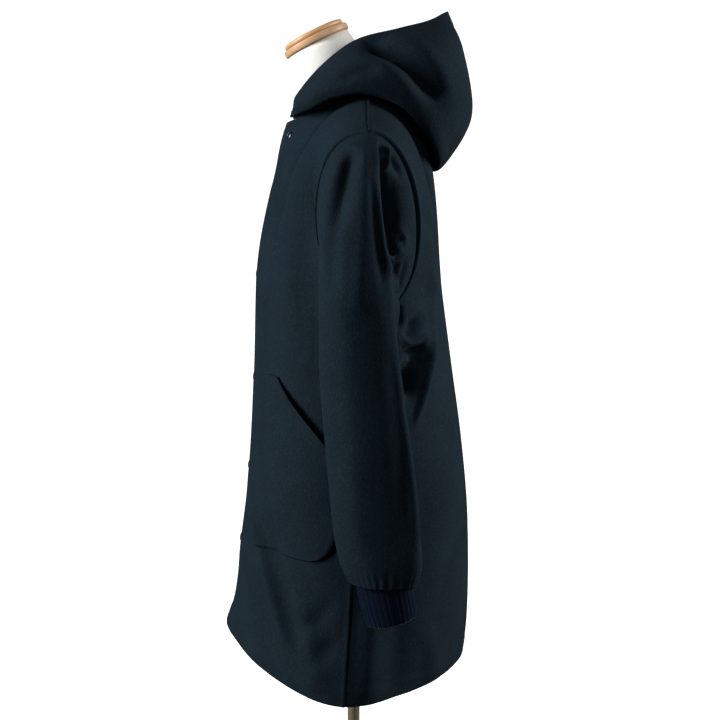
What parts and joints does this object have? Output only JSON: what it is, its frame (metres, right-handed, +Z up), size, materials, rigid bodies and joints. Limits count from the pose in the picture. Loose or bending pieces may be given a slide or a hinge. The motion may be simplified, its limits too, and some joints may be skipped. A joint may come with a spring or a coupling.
{
  "type": "hooded parka on a dress form stand",
  "caption": "Hooded wool parka with a curved hem, patch pockets and rib-knit cuffs, worn open at the neck on a limbless dress form with a pole and a round foot.",
  "frame": {"origin": "middle of the stand's underside, on the pole's axis", "axes": "+Z up along the pole; the coat's front faces -Y; the wearer's left side is +X"},
  "size_m": [0.5984, 0.3739, 1.492],
  "materials": {
    "wool_coating": "napped, near-black blue-green",
    "rib_knit": "ribbed knit, navy",
    "snap_metal": "dark satin",
    "linen": "plain cream weave",
    "light_wood": "clear satin",
    "stand_metal": "olive satin"
  },
  "bodies": {
    "root": {"front_left": "wool_coating", "front_right": "wool_coating", "back": "wool_coating", "sleeve_left": "wool_coating", "sleeve_right": "wool_coating", "hood_left": "wool_coating", "hood_right": "wool_coating", "pocket_left": "wool_coating", "pocket_right": "wool_coating", "cuff_left": "rib_knit", "cuff_right": "rib_knit", "snap_1": "snap_metal", "snap_2": "snap_metal", "snap_3": "snap_metal", "snap_4": "snap_metal", "snap_5": "snap_metal", "snap_6": "snap_metal", "stud_1": "snap_metal", "form": "linen", "cap_lower": "light_wood", "cap_upper": "light_wood", "pole": "stand_metal", "base": "stand_metal"}
  },
  "joints": []
}
